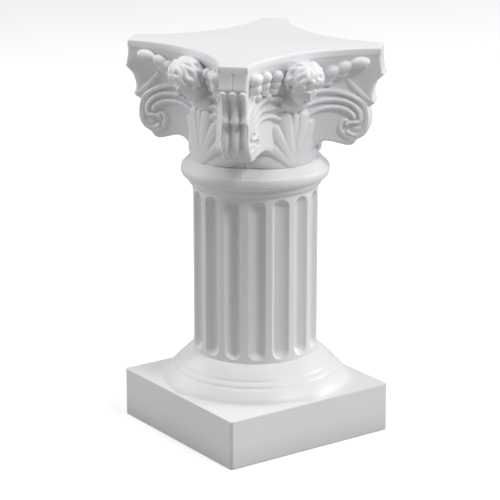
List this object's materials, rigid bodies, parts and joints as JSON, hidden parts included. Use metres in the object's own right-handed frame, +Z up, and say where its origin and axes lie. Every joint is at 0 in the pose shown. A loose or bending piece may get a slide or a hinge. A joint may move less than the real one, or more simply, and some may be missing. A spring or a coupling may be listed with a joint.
{
  "type": "roman column",
  "caption": "Small classical column: square plinth, moulded base, fluted shaft, and a horned capital with volutes, garlands, leaves and small heads.",
  "frame": {"origin": "middle of the underside of the square plinth", "axes": "+Z up along the column's axis; X and Y along the plinth's sides; the seam between the halves lies in the plane x = y; -Y is the side called front, +X right, +Y back, -X left"},
  "size_m": [0.0346, 0.0346, 0.068],
  "materials": {
    "body": "semi-matt white moulded plastic",
    "ornament": "semi-matt white moulded plastic, fine relief",
    "underside": "plain white moulded plastic"
  },
  "bodies": {
    "root": {"base_left": "body", "base_right": "body", "shaft_left": "body", "shaft_right": "body", "capital_left": "body", "capital_right": "body", "top_plate": "body", "bottom_plate": "underside", "head_front": "ornament", "head_right": "ornament", "head_back": "ornament", "head_left": "ornament", "leaf_front": "ornament", "leaf_right": "ornament", "leaf_back": "ornament", "leaf_left": "ornament", "band_front_left": "ornament", "band_front_right": "ornament", "band_back_right": "ornament", "band_back_left": "ornament", "garland_front_left": "ornament", "garland_front_right": "ornament", "garland_right_left": "ornament", "garland_right_right": "ornament", "garland_back_left": "ornament", "garland_back_right": "ornament", "garland_left_left": "ornament", "garland_left_right": "ornament", "scroll_front_left": "ornament", "scroll_front_right": "ornament", "scroll_right_left": "ornament", "scroll_right_right": "ornament", "scroll_back_left": "ornament", "scroll_back_right": "ornament", "scroll_left_left": "ornament", "scroll_left_right": "ornament"}
  },
  "joints": []
}
